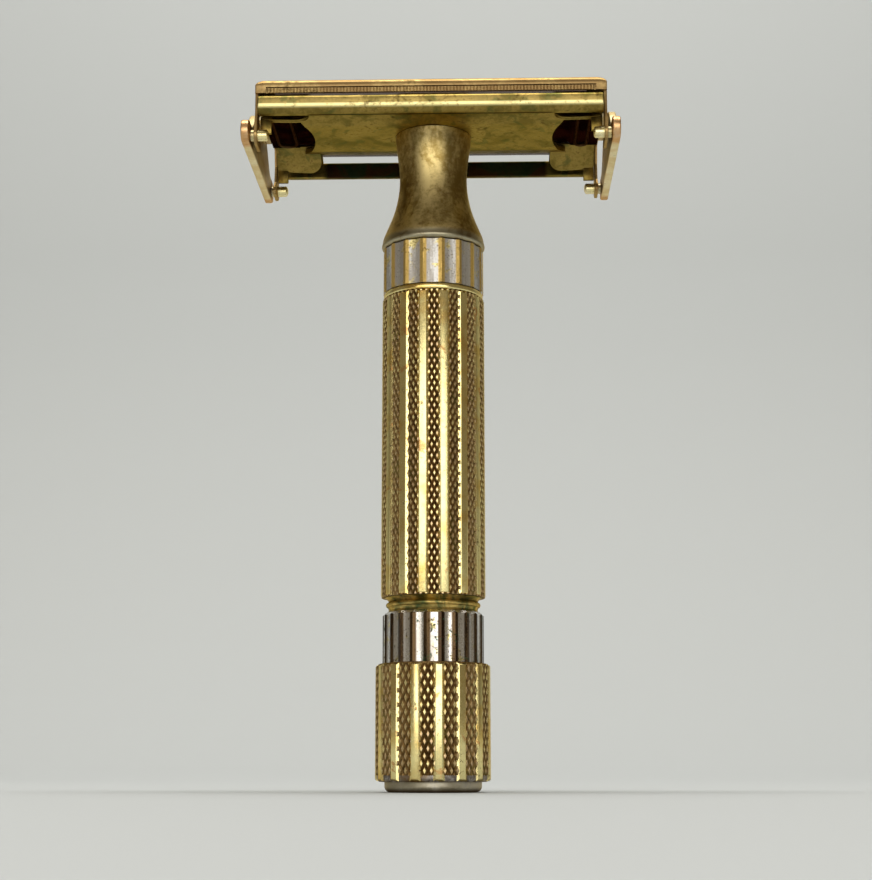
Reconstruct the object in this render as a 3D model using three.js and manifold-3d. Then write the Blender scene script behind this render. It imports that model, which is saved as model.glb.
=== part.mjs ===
// Twist-to-open double-edge safety razor in gold-plated brass, standing on its knob, doors closed.
// Millimetres, +Z up the handle, +X along the head. The origin is the centre of the knob's flat base.
// Turning the knob screws the spindle up: it lifts the blade bed and end plates, and the doors swing out.
import * as THREE from 'three';
import { mergeVertices } from 'three/addons/utils/BufferGeometryUtils.js';
import Module from 'manifold-3d';

// ---- Handle: heights and radii ----
const FIT = 0.05; // gap between two pieces that touch
const KNOB = { bottom: 1.2, top: 14.9, radius: 6.83, panel: 6.6, bore: 5.8, roof: 1.3, ribWidth: 0.83,
  footInset: 0.5, footEase: 0.6, crownEase: 0.7 };
const BASE = { radius: 5.72, top: 2.4, edge: 0.5 };
const STEM = { radius: 3.6, bore: 2.0, floor: 4.0, top: 25.5, hole: 3.75, grooveRadius: 3.05 };
const LOWER_RING = { bottom: 14.95, top: 20.95, radius: 6.05, depth: 0.2, flutes: 22, phase: 10.9,
  chamfer: 0.35 };
const BEAD_RING = { top: 22.7, neck: 5.4, bead: 5.65, shoulder: 5.8, crestHalf: 0.2, rootHalf: 0.4,
  flare: 0.35 };
const BARREL = { top: 59.35, radius: 6.25, panel: 6.03, bore: 5.35, ribWidth: 0.93 };
const TRIM_RING = { top: 60.2, radius: 6.1 };
const COLLAR = { top: 65.8, radius: 6.2, depth: 0.26, flutes: 17, phase: 11.2 };
const CORE = { outer: 5.3, inner: 4.7 };
const BUSH = { bottom: 61.0, bore: 2.05 };
const WASHER = { outer: 4.6, thickness: 0.45 };
const CLIP = { outer: 4.5, inner: 3.12, thickness: 0.55, mouth: 80 };
const SPINDLE = { radius: 1.9, bottom: 8.0 };
const RIBS = 15;
const BARREL_PHASE = 14; // degrees from the front of the razor to the nearest rib
const KNOB_PHASE = 7.5;

// The neck's flare, from its lip at the collar up to the head: [radius, height].
const NECK_FLARE = [
  [6.2, 65.85], [6.38, 66.2], [6.38, 66.8], [6.15, 67.7], [5.62, 68.8], [5.12, 70.0], [4.7, 71.2],
  [4.43, 72.3], [4.24, 73.5], [4.18, 74.7], [4.25, 76.2], [4.47, 77.9], [4.68, 80.55],
];
const NECK_BORE = 2.4;

// ---- Head ----
const GUARD = { half: 20.6, under: 80.6, floor: 81.4, flatY: 4.5, flankY: 8.25, top: 82.12, hole: 2.1 };
const BAR = { inner: 11.2, outer: 12.6, bottom: 79.4, top: 81.5, soften: 0.35, lift: 0.1, slopeY: 0.55,
  slopeZ: 0.6 };
const WEB = { from: 14.9, low: 79.4 };
const TROUGH_END = { reach: 16.8, middle: 14.9, sideY: 6.5 };
const LUG = { from: 19.3, inner: 8.8, outer: 9.3, bottom: 78.0 };
const BED = { half: 20.85, halfY: 4.3, bottom: 81.55, top: 82.2, wingFrom: 17.4, wingY: 5.5 };
const RIDGE = { half: 16.0, halfY: 0.55, top: 82.9 };
const BLADE = { bottom: 82.25, top: 82.35, halfY: 11.0, edgeHalf: 18.65, tabHalf: 21.45, tabY: 5.4 };
const BLADE_SLOT = { half: 17.0, halfY: 0.8, hole: 2.2 };
const PIN = { y: 10.35, z: 77.3, radius: 0.68, inner: 19.4, hole: 0.76 };
const PLATE = { inner: 21.6, outer: 22.55, bottom: 76.1, lobeY: 11.2, lobe: 1.4, top: 82.2, topY: 4.5,
  shoulderY: 9.2, waistY: 7.6, neckY: 6.6, neckZ: 80.4 };
const SPRING = { near: 18.0, far: 19.4, reachY: 5.6, z: 81.3, wire: 0.2 };
const DOOR = { half: 21.05, edgeY: 10.9, edge: 82.5, crown: 85.8, wall: 1.0, split: 0.08 };
const END_BLOCK = { from: 20.1, inner: 7.0, top: 84.1 };
const EAR = { from: 20.75, to: 21.4, heelY: 7.5 };

// ---- Fineness ----
const ROUND = 40; // sides of a visible turned piece
const INNER_ROUND = 24; // sides of one hidden inside
const SMALL_ROUND = 16;
const WIRE_SIDES = 4; // per half turn
const WELD = 1e-5;
const PAST = 1; // how far a cutter runs past the face that it cuts
const PROUD = 0.1; // how far an envelope stands off the piece that it trims

const GOLD = { color: 0xc9a14e, roughness: 0.32, metalness: 1.0 };
const DARK_BRASS = { color: 0x9a7a3c, roughness: 0.5, metalness: 1.0 };
const STEEL = { color: 0xb9bcc0, roughness: 0.28, metalness: 1.0 };

const wasm = await Module();
wasm.setup();
const razor = new THREE.Group();

// ---- Tools for making solids ----
function weld(geometry) {
  const bare = geometry.clone();
  bare.deleteAttribute('normal');
  bare.deleteAttribute('uv');
  const merged = mergeVertices(bare, WELD);
  const corners = merged.index.array;
  const kept = [];
  for (let i = 0; i < corners.length; i += 3) {
    const triangle = Array.from(corners.slice(i, i + 3));
    if (new Set(triangle).size === 3) kept.push(...triangle);
  }
  merged.setIndex(kept);
  return merged;
}

function solid(geometry) {
  const welded = weld(geometry);
  return new wasm.Manifold(new wasm.Mesh({
    numProp: 3,
    vertProperties: new Float32Array(welded.attributes.position.array),
    triVerts: new Uint32Array(welded.index.array),
  }));
}

function surfaceOf(manifold) {
  const mesh = manifold.getMesh();
  const geometry = new THREE.BufferGeometry();
  geometry.setAttribute('position', new THREE.BufferAttribute(mesh.vertProperties, 3));
  geometry.setIndex(new THREE.BufferAttribute(mesh.triVerts, 1));
  geometry.computeVertexNormals();
  return geometry;
}

// A turned piece about Z. The outline of [radius, height] runs up the outside and down the inside,
// or starts and ends on the axis.
function turned(outline, segments = ROUND) {
  const points = outline.map(([radius, height]) => new THREE.Vector2(radius, height));
  if (outline[0][0] > 0) points.push(points[0].clone());
  return solid(new THREE.LatheGeometry(points, segments).rotateX(Math.PI / 2));
}

function plug(radius, bottom, top) {
  return turned([[0, bottom], [radius, bottom], [radius, top], [0, top]]);
}

function ring(inner, outer, bottom, top, segments = ROUND) {
  return turned([[outer, bottom], [outer, top], [inner, top], [inner, bottom]], segments);
}

function shapeFrom(points) {
  return new THREE.Shape(points.map(([x, y]) => new THREE.Vector2(x, y)));
}

function prismZ(shape, bottom, top) {
  const settings = { depth: top - bottom, bevelEnabled: false, curveSegments: SMALL_ROUND };
  return solid(new THREE.ExtrudeGeometry(shape, settings).translate(0, 0, bottom));
}

// An outline in Y and Z, drawn out along X.
function prismX(shape, from, to) {
  const settings = { depth: to - from, bevelEnabled: false, curveSegments: SMALL_ROUND };
  const alongX = new THREE.Matrix4().makeBasis(
    new THREE.Vector3(0, 1, 0), new THREE.Vector3(0, 0, 1), new THREE.Vector3(1, 0, 0));
  return solid(new THREE.ExtrudeGeometry(shape, settings).applyMatrix4(alongX).translate(from, 0, 0));
}

function block(x, y, z) {
  const geometry = new THREE.BoxGeometry(x[1] - x[0], y[1] - y[0], z[1] - z[0]);
  return solid(geometry.translate((x[0] + x[1]) / 2, (y[0] + y[1]) / 2, (z[0] + z[1]) / 2));
}

function rodX(radius, from, to, y, z) {
  const geometry = new THREE.CylinderGeometry(radius, radius, to - from, SMALL_ROUND);
  return solid(geometry.rotateZ(Math.PI / 2).translate((from + to) / 2, y, z));
}

function mirrored(points) {
  return points.concat(points.map(([y, z]) => [-y, z]).reverse());
}

function onSide(points, side) {
  return points.map(([y, z]) => [side * y, z]);
}

function add(name, manifold, look) {
  const mesh = new THREE.Mesh(surfaceOf(manifold), new THREE.MeshStandardMaterial(look));
  mesh.name = name;
  razor.add(mesh);
}

// A point at an angle from the front of the razor, turning towards +X.
function around(degrees, radius) {
  const angle = THREE.MathUtils.degToRad(degrees);
  return [radius * Math.sin(angle), -radius * Math.cos(angle)];
}

// ---- Sections round the handle ----
function ribbedSection(phase, ribRadius, panelRadius, ribWidth) {
  const pitch = 360 / RIBS;
  const halfRib = THREE.MathUtils.radToDeg(ribWidth / 2 / ribRadius);
  const points = [];
  for (let rib = 0; rib < RIBS; rib += 1) {
    const centre = phase + rib * pitch;
    points.push(around(centre - halfRib, panelRadius));
    points.push(around(centre - halfRib, ribRadius));
    points.push(around(centre + halfRib, ribRadius));
    points.push(around(centre + halfRib, panelRadius));
    points.push(around(centre + pitch / 2, panelRadius));
  }
  return shapeFrom(points);
}

function flutedSection(phase, count, radius, depth) {
  const steps = 4;
  const pitch = 360 / count;
  const points = [];
  for (let step = 0; step < count * steps; step += 1) {
    const across = (step % steps) / steps;
    const dip = depth * Math.sin(Math.PI * across);
    points.push(around(phase + (step * pitch) / steps, radius - dip));
  }
  return shapeFrom(points);
}

// ---- Knob and what turns with it ----
function knobShell() {
  const { bottom, top, radius, panel, bore, roof, ribWidth, footInset, footEase, crownEase } = KNOB;
  const grip = prismZ(ribbedSection(KNOB_PHASE, radius, panel, ribWidth), bottom, top);
  const envelope = turned([[0, bottom], [radius - footInset, bottom], [radius + PROUD, bottom + footEase],
    [radius + PROUD, top - crownEase], [radius - crownEase, top], [0, top]]);
  const hollow = plug(bore, bottom - PAST, top - roof);
  const stemHole = plug(STEM.radius + FIT, bottom, top + PAST);
  return grip.intersect(envelope).subtract(hollow).subtract(stemHole);
}

function knobStem() {
  const { radius, bore, floor, top, grooveRadius } = STEM;
  const groove = BEAD_RING.top + FIT + WASHER.thickness + FIT;
  const grooveTop = groove + CLIP.thickness + 2 * FIT;
  return turned([[0, BASE.top + FIT], [radius, BASE.top + FIT], [radius, groove], [grooveRadius, groove],
    [grooveRadius, grooveTop], [radius, grooveTop], [radius, top], [bore, top], [bore, floor], [0, floor]],
  INNER_ROUND);
}

function retainingClip() {
  const bottom = BEAD_RING.top + WASHER.thickness + 3 * FIT;
  const open = THREE.MathUtils.degToRad(CLIP.mouth / 2);
  const shape = new THREE.Shape();
  shape.absarc(0, 0, CLIP.outer, open, 2 * Math.PI - open, false);
  shape.absarc(0, 0, CLIP.inner, 2 * Math.PI - open, open, true);
  return prismZ(shape, bottom, bottom + CLIP.thickness);
}

add('knob_base_disc', turned([[0, 0], [BASE.radius - BASE.edge, 0], [BASE.radius, BASE.edge],
  [BASE.radius, BASE.top], [0, BASE.top]]), GOLD);
add('knob_shell', knobShell(), GOLD);
add('knob_stem', knobStem(), DARK_BRASS);
add('retaining_clip', retainingClip(), STEEL);

// ---- Handle ----
function lowerFlutedRing() {
  const { bottom, top, radius, depth, flutes, phase, chamfer } = LOWER_RING;
  const flutedRing = prismZ(flutedSection(phase, flutes, radius, depth), bottom, top);
  const envelope = ring(STEM.hole, radius + PAST, bottom, top - chamfer);
  const cap = turned([[radius + PROUD, top - chamfer], [radius - chamfer, top], [STEM.hole, top],
    [STEM.hole, top - chamfer]]);
  return flutedRing.intersect(envelope.add(cap));
}

function lowerBeadRing() {
  const bottom = LOWER_RING.top + FIT;
  const { top, neck, bead, shoulder, crestHalf, rootHalf, flare } = BEAD_RING;
  const middle = (bottom + top) / 2;
  return turned([[neck, bottom], [neck, middle - rootHalf], [bead, middle - crestHalf],
    [bead, middle + crestHalf], [neck, middle + rootHalf], [neck, top - flare], [shoulder, top],
    [STEM.hole, top], [STEM.hole, bottom]]);
}

function handleBarrel() {
  const section = ribbedSection(BARREL_PHASE, BARREL.radius, BARREL.panel, BARREL.ribWidth);
  section.holes.push(new THREE.Path().absarc(0, 0, BARREL.bore, 0, 2 * Math.PI, true));
  return prismZ(section, BEAD_RING.top + FIT, BARREL.top);
}

function upperCollar() {
  const section = flutedSection(COLLAR.phase, COLLAR.flutes, COLLAR.radius, COLLAR.depth);
  section.holes.push(new THREE.Path().absarc(0, 0, BARREL.bore, 0, 2 * Math.PI, true));
  return prismZ(section, TRIM_RING.top + FIT, COLLAR.top);
}

function bellNeck() {
  const bottom = NECK_FLARE[0][1];
  const top = NECK_FLARE[NECK_FLARE.length - 1][1];
  return turned([...NECK_FLARE, [NECK_BORE, top], [NECK_BORE, bottom]]);
}

add('lower_fluted_ring', lowerFlutedRing(), GOLD);
add('lower_bead_ring', lowerBeadRing(), GOLD);
add('thrust_washer', ring(STEM.hole, WASHER.outer, BEAD_RING.top + FIT,
  BEAD_RING.top + FIT + WASHER.thickness, INNER_ROUND), STEEL);
add('core_tube', ring(CORE.inner, CORE.outer, BEAD_RING.top + FIT, COLLAR.top - FIT, INNER_ROUND),
  DARK_BRASS);
add('handle_barrel', handleBarrel(), GOLD);
add('upper_trim_ring', ring(BARREL.bore, TRIM_RING.radius, BARREL.top + FIT, TRIM_RING.top), GOLD);
add('upper_fluted_collar', upperCollar(), GOLD);
add('neck_bush', ring(BUSH.bore, CORE.inner - FIT, BUSH.bottom, COLLAR.top - FIT, INNER_ROUND), DARK_BRASS);
add('bell_neck', bellNeck(), GOLD);

// ---- Guard: a trough over the neck, four end webs and two smooth bars beyond the lather slots ----
function guardTrough() {
  const { under, floor, flatY, flankY, top, hole } = GUARD;
  const outline = mirrored([[flatY, under], [flankY, top - 0.27], [flankY, top], [flatY, floor]]);
  const { reach, middle, sideY } = TROUGH_END;
  const lead = reach - middle;
  const endRadius = (sideY * sideY + lead * lead) / (2 * lead);
  let trough = prismX(shapeFrom(outline), -reach, reach);
  for (const side of [-1, 1]) {
    const bite = plug(endRadius, under - PAST, top + PAST);
    trough = trough.subtract(bite.translate([side * (middle + endRadius), 0, 0]));
  }
  return trough.subtract(plug(hole, under - PAST, top + PAST));
}

function endWeb(side, end) {
  const { top, half } = GUARD;
  const sheet = 0.57;
  const web = shapeFrom(onSide([[6.5, top], [10.6, top], [BAR.outer - 0.7, BAR.top - 0.05],
    [BAR.outer - 0.7, BAR.top - 0.6], [10.5, top - sheet], [7.9, top - sheet], [9.4, WEB.low + 0.15],
    [8.95, WEB.low], [6.3, top - 0.17]], side));
  const xs = end < 0 ? [-half, -WEB.from] : [WEB.from, half];
  const lugX = end < 0 ? [-half, -LUG.from] : [LUG.from, half];
  const lugY = side < 0 ? [-LUG.outer, -LUG.inner] : [LUG.inner, LUG.outer];
  return prismX(web, ...xs).add(block(lugX, lugY, [LUG.bottom, WEB.low + 0.6]));
}

function guardBar(side) {
  const { inner, outer, bottom, top, soften, lift, slopeY, slopeZ } = BAR;
  const section = onSide([[inner, bottom + lift], [inner + soften, bottom], [outer - slopeY, bottom + lift],
    [outer - lift, bottom + soften], [outer, bottom + slopeZ], [outer, top - soften],
    [outer - soften, top], [inner, top]], side);
  return prismX(shapeFrom(section), -GUARD.half, GUARD.half);
}

function guardFrame() {
  let frame = guardTrough();
  for (const side of [-1, 1]) {
    frame = frame.add(guardBar(side));
    for (const end of [-1, 1]) frame = frame.add(endWeb(side, end));
  }
  return frame;
}

add('guard_frame', guardFrame(), GOLD);

// ---- Lifter: spindle, blade bed, end plates, pivot pins and springs ----
function bladeBed() {
  const { half, halfY, bottom, top, wingFrom, wingY } = BED;
  let bed = block([-half, half], [-halfY, halfY], [bottom, top]);
  for (const x of [[-half, -wingFrom], [wingFrom, half]]) {
    bed = bed.add(block(x, [-wingY, wingY], [bottom, top]));
  }
  return bed.add(block([-RIDGE.half, RIDGE.half], [-RIDGE.halfY, RIDGE.halfY], [bottom, RIDGE.top]));
}

function endPlate(end) {
  const { inner, outer, bottom, lobeY, lobe, top, topY, shoulderY, waistY, neckY, neckZ } = PLATE;
  const shape = new THREE.Shape();
  shape.moveTo(-lobeY, bottom);
  shape.lineTo(lobeY, bottom);
  shape.absarc(lobeY, bottom + lobe, lobe, -Math.PI / 2, Math.PI / 2, false);
  shape.lineTo(shoulderY, bottom + 2 * lobe);
  shape.quadraticCurveTo(waistY, bottom + 2 * lobe, neckY, neckZ);
  shape.lineTo(topY, top);
  shape.lineTo(-topY, top);
  shape.lineTo(-neckY, neckZ);
  shape.quadraticCurveTo(-waistY, bottom + 2 * lobe, -shoulderY, bottom + 2 * lobe);
  shape.lineTo(-lobeY, bottom + 2 * lobe);
  shape.absarc(-lobeY, bottom + lobe, lobe, Math.PI / 2, 1.5 * Math.PI, false);
  const plateX = end < 0 ? [-outer, -inner] : [inner, outer];
  const foldX = end < 0 ? [-inner - FIT, -BED.half - FIT] : [BED.half + FIT, inner + FIT];
  const fold = block(foldX, [-BED.halfY, BED.halfY], [BED.bottom, BED.top]);
  return prismX(shape, ...plateX).add(fold);
}

function pivotPin(side, end) {
  const xs = end < 0 ? [-PLATE.inner + FIT, -PIN.inner] : [PIN.inner, PLATE.inner - FIT];
  return rodX(PIN.radius, ...xs, side * PIN.y, PIN.z);
}

// A hairpin of wire: two straight legs across the bed, joined by a half turn.
function crossSpring(end) {
  const { near, far, reachY, z, wire } = SPRING;
  const bend = (far - near) / 2;
  const middle = (near + far) / 2;
  const bendY = reachY - bend;
  const route = [new THREE.Vector3(end * near, -reachY, z), new THREE.Vector3(end * near, 0, z)];
  const bendSteps = 6;
  for (let step = 0; step <= bendSteps; step += 1) {
    const angle = Math.PI * (1 - step / bendSteps);
    const x = middle + bend * Math.cos(angle);
    route.push(new THREE.Vector3(end * x, bendY + bend * Math.sin(angle), z));
  }
  route.push(new THREE.Vector3(end * far, 0, z), new THREE.Vector3(end * far, -reachY, z));
  const path = new THREE.CatmullRomCurve3(route, false, 'centripetal');
  const section = new THREE.Shape().absarc(0, 0, wire, 0, 2 * Math.PI, false);
  const settings = { steps: 24, extrudePath: path, curveSegments: WIRE_SIDES, bevelEnabled: false };
  return solid(new THREE.ExtrudeGeometry(section, settings));
}

function razorBlade() {
  const { bottom, top, halfY, edgeHalf, tabHalf, tabY } = BLADE;
  const notch = 0.6;
  const quarter = [[edgeHalf, halfY], [edgeHalf, tabY + notch], [edgeHalf + notch, tabY],
    [tabHalf - notch, tabY], [tabHalf, tabY - notch]];
  const right = quarter.concat(quarter.map(([x, y]) => [x, -y]).reverse());
  const outline = right.concat(right.map(([x, y]) => [-x, -y]));
  const blade = prismZ(shapeFrom(outline), bottom, top);
  const { half, halfY: slotY, hole } = BLADE_SLOT;
  const slot = block([-half, half], [-slotY, slotY], [bottom - PAST, top + PAST]);
  return blade.subtract(slot.add(plug(hole, bottom - PAST, top + PAST)));
}

add('spindle_rod', turned([[0, SPINDLE.bottom], [SPINDLE.radius, SPINDLE.bottom],
  [SPINDLE.radius, BED.bottom - FIT], [0, BED.bottom - FIT]], INNER_ROUND), DARK_BRASS);
add('blade_bed', bladeBed(), GOLD);
add('razor_blade', razorBlade(), STEEL);
for (const [end, where] of [[-1, 'left'], [1, 'right']]) {
  add(`end_plate_${where}`, endPlate(end), GOLD);
  add(`door_spring_${where}`, crossSpring(end), STEEL);
  for (const [side, face] of [[-1, 'front'], [1, 'rear']]) {
    add(`pivot_pin_${face}_${where}`, pivotPin(side, end), DARK_BRASS);
  }
}

// ---- Doors: a domed shell with plain end blocks and an ear at each end down to its pivot pin ----
function doorShell(side) {
  const { half, edgeY, edge, crown, wall, split } = DOOR;
  const outer = [[edgeY, edge], [edgeY, edge + 0.65], [edgeY - 0.18, edge + 0.75], [edgeY, edge + 0.9],
    [edgeY - 0.15, edge + 1.5], [edgeY - 0.6, edge + 2.0], [edgeY - 2.4, crown - 0.85], [5.0, crown - 0.3],
    [2.2, crown - 0.05], [split, crown]];
  const inner = [[split, crown - wall], [5.0, crown - wall - 0.35], [8.6, edge + 1.3], [9.9, edge + 0.6],
    [9.9, edge]];
  return prismX(shapeFrom(onSide(outer.concat(inner), side)), -half, half);
}

function doorEar(side, end) {
  const shape = shapeFrom(onSide([[10.85, 84.1], [10.85, 82.5], [10.7, 80.3], [11.5, 78.0], [11.6, 77.3],
    [11.25, 76.45], [10.5, 76.06], [EAR.heelY, 76.2], [EAR.heelY, 77.1], [8.9, 78.1], [9.3, 80.3],
    [8.5, 82.6], [8.1, 84.1]], side));
  const xs = end < 0 ? [-EAR.to, -EAR.from] : [EAR.from, EAR.to];
  const blockX = end < 0 ? [-DOOR.half, -END_BLOCK.from] : [END_BLOCK.from, DOOR.half];
  const blockY = side < 0 ? [-DOOR.edgeY, -END_BLOCK.inner] : [END_BLOCK.inner, DOOR.edgeY];
  return prismX(shape, ...xs).add(block(blockX, blockY, [DOOR.edge, END_BLOCK.top]));
}

function door(side) {
  let leaf = doorShell(side);
  for (const end of [-1, 1]) leaf = leaf.add(doorEar(side, end));
  return leaf.subtract(rodX(PIN.hole, -EAR.to - PAST, EAR.to + PAST, side * PIN.y, PIN.z));
}

add('door_front', door(-1), GOLD);
add('door_rear', door(1), GOLD);

export default razor;
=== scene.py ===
"""A worn gold-plated safety razor with a twist-to-open head, on a plain pale floor.

Sizes are in millimetres unless a comment says otherwise, and a finished mesh is scaled to metres.
Heights and radii come from the frame's boxes wherever a box gives them.
"""

import math

import bmesh
import bpy
from mathutils import Matrix, Vector


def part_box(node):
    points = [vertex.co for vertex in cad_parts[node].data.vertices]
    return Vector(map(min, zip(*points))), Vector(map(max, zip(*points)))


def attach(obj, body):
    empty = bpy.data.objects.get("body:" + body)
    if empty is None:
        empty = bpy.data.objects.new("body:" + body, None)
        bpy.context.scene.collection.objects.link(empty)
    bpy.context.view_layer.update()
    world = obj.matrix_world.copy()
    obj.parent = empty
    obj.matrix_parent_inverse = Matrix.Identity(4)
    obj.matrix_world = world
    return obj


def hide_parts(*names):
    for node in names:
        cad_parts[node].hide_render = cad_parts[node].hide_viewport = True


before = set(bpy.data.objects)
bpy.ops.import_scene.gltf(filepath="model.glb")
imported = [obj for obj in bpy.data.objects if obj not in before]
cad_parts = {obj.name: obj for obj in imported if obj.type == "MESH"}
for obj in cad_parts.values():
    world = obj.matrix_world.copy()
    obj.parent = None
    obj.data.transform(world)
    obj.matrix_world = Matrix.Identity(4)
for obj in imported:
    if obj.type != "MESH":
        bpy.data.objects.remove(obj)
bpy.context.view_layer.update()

MM = 0.001
WELD = 0.0005  # points closer than this become one point
ON_PLANE = 0.0001  # how near a point has to be to count as level with a plane


def low(node):
    """The lowest corner of a CAD node, in millimetres."""
    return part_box(node)[0] / MM


def high(node):
    """The highest corner of a CAD node, in millimetres."""
    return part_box(node)[1] / MM


# ---- Modelling tools ----

AXES = {
    "X": lambda a, b, along: Vector((along, a, b)),
    "Y": lambda a, b, along: Vector((a, along, b)),
    "Z": lambda a, b, along: Vector((a, b, along)),
}


def around(degrees, radius):
    """A point in plan, at an angle from the front of the razor that grows towards +X."""
    angle = math.radians(degrees)
    return radius * math.sin(angle), -radius * math.cos(angle)


def loft(bm, sections, axis):
    """Joins outlines of equal length, each at its own place along an axis, into a closed solid."""
    place = AXES[axis]
    start, points = sections[0]
    face = bm.faces.new([bm.verts.new(place(a, b, start)) for a, b in points])
    for (before, points), (along, target) in zip(sections, sections[1:]):
        aims = {place(a, b, before).to_tuple(5): place(c, d, along)
                for (a, b), (c, d) in zip(points, target)}
        grown = bmesh.ops.extrude_face_region(bm, geom=[face])["geom"]
        for vert in (item for item in grown if isinstance(item, bmesh.types.BMVert)):
            vert.co = aims[vert.co.to_tuple(5)]
        face = next(item for item in grown if isinstance(item, bmesh.types.BMFace))


def prism(bm, points, axis, start, end):
    """Draws an outline out along an axis, and gives the new points back."""
    place = AXES[axis]
    base = [bm.verts.new(place(a, b, start)) for a, b in points]
    face = bm.faces.new(base)
    grown = bmesh.ops.extrude_face_region(bm, geom=[face])["geom"]
    moved = [item for item in grown if isinstance(item, bmesh.types.BMVert)]
    bmesh.ops.translate(bm, verts=moved, vec=place(0, 0, end - start))
    verts = base + moved
    faces = {linked for vert in verts for linked in vert.link_faces}
    bmesh.ops.recalc_face_normals(bm, faces=list(faces))
    return verts


def sharp_edges(verts, degrees=25):
    """The edges between these points where the surface turns by more than an angle."""
    limit = math.radians(degrees)
    edges = {edge for vert in verts for edge in vert.link_edges if len(edge.link_faces) == 2}
    return [edge for edge in edges if edge.calc_face_angle(0.0) > limit]


def soften(bm, edges, width, segments=2):
    bmesh.ops.bevel(bm, geom=edges, offset=width, offset_type="OFFSET", segments=segments,
                    profile=0.5, affect="EDGES", material=-1, clamp_overlap=True)


def turned(bm, outline, steps=96, closed=True):
    """Spins an outline of (radius, height) about Z. A closed outline makes a ring."""
    verts = [bm.verts.new((radius, 0, height)) for radius, height in outline]
    edges = [bm.edges.new(pair) for pair in zip(verts, verts[1:])]
    if closed:
        edges.append(bm.edges.new((verts[-1], verts[0])))
    bmesh.ops.spin(bm, geom=verts + edges, cent=(0, 0, 0), axis=(0, 0, 1), angle=2 * math.pi,
                   steps=steps, use_merge=True)
    bmesh.ops.remove_doubles(bm, verts=bm.verts, dist=WELD)
    bmesh.ops.recalc_face_normals(bm, faces=bm.faces)


def arc(centre, radius, start, end, steps):
    """Points along an arc, in degrees anticlockwise from the first axis."""
    turn = [math.radians(start + (end - start) * step / steps) for step in range(steps + 1)]
    return [(centre[0] + radius * math.cos(a), centre[1] + radius * math.sin(a)) for a in turn]


def on_side(points, side):
    return [(side * a, b) for a, b in points]


def piece(name, bm, body, material, replaces=(), crease=32):
    """Turns a mesh in millimetres into a finished piece that rides on its body.

    Edges that turn by more than the crease angle are shaded sharp.
    """
    bmesh.ops.scale(bm, vec=(MM, MM, MM), verts=bm.verts)
    mesh = bpy.data.meshes.new(name)
    bm.to_mesh(mesh)
    bm.free()
    mesh.shade_smooth()
    mesh.set_sharp_from_angle(angle=math.radians(crease))
    mesh.materials.append(material)
    made = bpy.data.objects.new(name, mesh)
    bpy.context.scene.collection.objects.link(made)
    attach(made, body)
    if replaces:
        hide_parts(*replaces)
    return made


# ---- Shader tools ----

MIX_FACTOR, MIX_FIRST, MIX_SECOND, MIX_RESULT = 0, 6, 7, 2  # the Mix node's sockets for colours


class Value:
    """One shader socket. Arithmetic on it adds Math nodes."""

    def __init__(self, tree, socket):
        self.tree = tree
        self.socket = socket

    def math(self, operation, first, second=0.0):
        return node(self.tree, "ShaderNodeMath", {"operation": operation}, {0: first, 1: second})

    def __add__(self, other):
        return self.math("ADD", self, other)

    def __sub__(self, other):
        return self.math("SUBTRACT", self, other)

    def __mul__(self, other):
        return self.math("MULTIPLY", self, other)

    def __pow__(self, other):
        return self.math("POWER", self, other)

    def __rsub__(self, other):
        return self.math("SUBTRACT", other, self)

    def __abs__(self):
        return self.math("ABSOLUTE", self)

    __radd__ = __add__
    __rmul__ = __mul__

    def between(self, start, end):
        """0 below start, 1 above end, smooth in between."""
        return node(self.tree, "ShaderNodeMapRange", {"interpolation_type": "SMOOTHSTEP"},
                    {"Value": self, "From Min": start, "From Max": end})


def node(tree, kind, settings=None, inputs=None, output=0):
    """Adds a node, sets it up, fills its sockets with numbers or links, and returns one output."""
    made = tree.nodes.new(kind)
    for key, setting in (settings or {}).items():
        setattr(made, key, setting)
    for key, value in (inputs or {}).items():
        socket = made.inputs[key]
        if isinstance(value, Value):
            tree.links.new(value.socket, socket)
        elif isinstance(value, tuple) and len(value) == 3 and socket.type == "RGBA":
            socket.default_value = (*value, 1.0)
        else:
            socket.default_value = value
    return Value(tree, made.outputs[output])


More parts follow.
